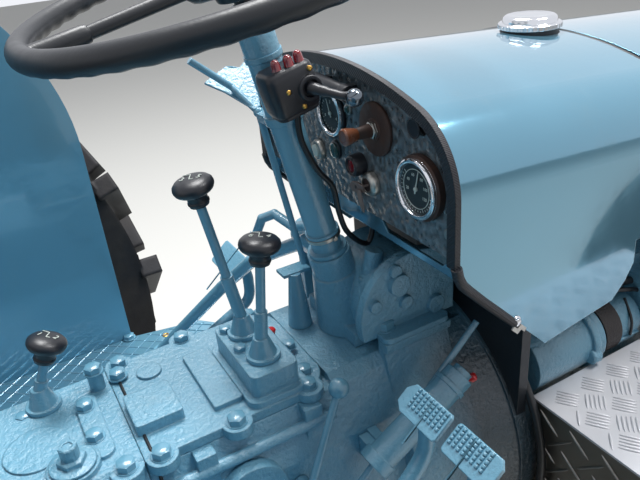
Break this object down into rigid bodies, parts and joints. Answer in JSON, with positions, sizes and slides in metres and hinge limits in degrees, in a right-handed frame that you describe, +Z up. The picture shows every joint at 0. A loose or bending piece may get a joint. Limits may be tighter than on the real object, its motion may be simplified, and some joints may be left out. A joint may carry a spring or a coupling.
{
  "type": "vintage farm tractor",
  "caption": "Light vintage farm tractor with open platform, arched bonnet and cowl, leaning steering column, gear levers, lugged rear wheels and steered front axle.",
  "frame": {"origin": "on the ground, midway between the back of the fenders and the front of the front tyres, in the middle plane", "axes": "+X forward, +Y to the driver's left, +Z up"},
  "size_m": [2.852, 1.6, 1.32],
  "materials": {
    "paint_blue": "glossy light blue-grey enamel",
    "rubber_black": "satin black rubber",
    "plastic_black": "black switch housing",
    "hammertone": "dark grey hammered enamel",
    "chrome": "chromed gauge bezels",
    "aluminium": "bare five-bar chequer sheet",
    "black_iron": "black heat-stained iron",
    "tyre": "black tyre rubber",
    "rim_red": "muted red enamel"
  },
  "bodies": {
    "root": {"rear_axle_case": "paint_blue", "gearbox_case": "paint_blue", "gear_levers": "paint_blue", "lever_knobs": "rubber_black", "gearbox_cover": "paint_blue", "engine_block": "paint_blue", "front_bolster": "paint_blue", "front_axle": "paint_blue", "radiator": "black_iron", "cowl": "paint_blue", "fuel_tank": "paint_blue", "fuel_cap": "aluminium", "dash_panel": "hammertone", "dash_trim": "rubber_black", "instruments": "chrome", "steering_box": "paint_blue", "steering_column": "paint_blue", "column_switch": "plastic_black", "hand_levers": "paint_blue", "pedals": "paint_blue", "pedal_shaft": "paint_blue", "footplates": "paint_blue", "battery_box": "aluminium", "battery_lid": "aluminium", "fenders": "paint_blue", "seat": "black_iron", "hitch": "paint_blue", "headlamps": "paint_blue", "exhaust": "black_iron"},
    "bonnet": {"bonnet": "paint_blue", "grille": "paint_blue"},
    "knuckle_left": {"knuckle_left": "paint_blue"},
    "knuckle_right": {"knuckle_right": "paint_blue"},
    "tie_rod": {"tie_rod": "paint_blue"},
    "drop_arm": {"drop_arm": "paint_blue"},
    "drag_link": {"drag_link": "paint_blue"},
    "steering_wheel": {"steering_wheel": "rubber_black"},
    "wheel_rear_left": {"tyre_rear_left": "tyre", "rim_rear_left": "rim_red"},
    "wheel_rear_right": {"tyre_rear_right": "tyre", "rim_rear_right": "rim_red"},
    "wheel_front_left": {"tyre_front_left": "tyre", "rim_front_left": "rim_red"},
    "wheel_front_right": {"tyre_front_right": "tyre", "rim_front_right": "rim_red"}
  },
  "joints": [
    {"name": "wheel_rear_left_spin", "type": "hinge", "parent": "root", "child": "wheel_rear_left", "pos_m": [-0.754, 0.66, 0.628], "axis": [0, 1, 0], "continuous": true},
    {"name": "wheel_rear_right_spin", "type": "hinge", "parent": "root", "child": "wheel_rear_right", "pos_m": [-0.754, -0.66, 0.628], "axis": [0, 1, 0], "continuous": true},
    {"name": "steer_left", "type": "hinge", "parent": "root", "child": "knuckle_left", "pos_m": [1.076, 0.51, 0.35], "axis": [0, 0, 1], "range_deg": [-35, 35]},
    {"name": "steer_right", "type": "hinge", "parent": "root", "child": "knuckle_right", "pos_m": [1.076, -0.51, 0.35], "axis": [0, 0, 1], "range_deg": [-35, 35]},
    {"name": "wheel_front_left_spin", "type": "hinge", "parent": "knuckle_left", "child": "wheel_front_left", "pos_m": [1.076, 0.62, 0.35], "axis": [0, 1, 0], "continuous": true},
    {"name": "wheel_front_right_spin", "type": "hinge", "parent": "knuckle_right", "child": "wheel_front_right", "pos_m": [1.076, -0.62, 0.35], "axis": [0, 1, 0], "continuous": true},
    {"name": "tie_rod_pivot", "type": "hinge", "parent": "knuckle_left", "child": "tie_rod", "pos_m": [0.946, 0.51, 0.477], "axis": [0, 0, 1], "range_deg": [-35, 35]},
    {"name": "drop_arm_turn", "type": "hinge", "parent": "root", "child": "drop_arm", "pos_m": [0.036, 0.196, 0.832], "axis": [0, 1, 0], "range_deg": [-35, 35]},
    {"name": "drag_link_pivot", "type": "hinge", "parent": "drop_arm", "child": "drag_link", "pos_m": [0.036, 0.221, 0.682], "axis": [0, 1, 0], "range_deg": [-35, 35]},
    {"name": "steering_wheel_turn", "type": "hinge", "parent": "root", "child": "steering_wheel", "pos_m": [-0.017, 0, 0.83], "axis": [-0.2181, 0, 0.9759], "range_deg": [-500, 500]},
    {"name": "bonnet_tilt", "type": "hinge", "parent": "root", "child": "bonnet", "pos_m": [1.206, 0, 0.581], "axis": [0, 1, 0], "range_deg": [0, 60]}
  ],
  "couplings": [
    {"joint": "steer_right", "follows": "steer_left", "ratio": 1},
    {"joint": "tie_rod_pivot", "follows": "steer_left", "ratio": -1},
    {"joint": "drop_arm_turn", "follows": "steer_left", "ratio": -1},
    {"joint": "drag_link_pivot", "follows": "steer_left", "ratio": 1},
    {"joint": "steering_wheel_turn", "follows": "steer_left", "ratio": 14}
  ]
}
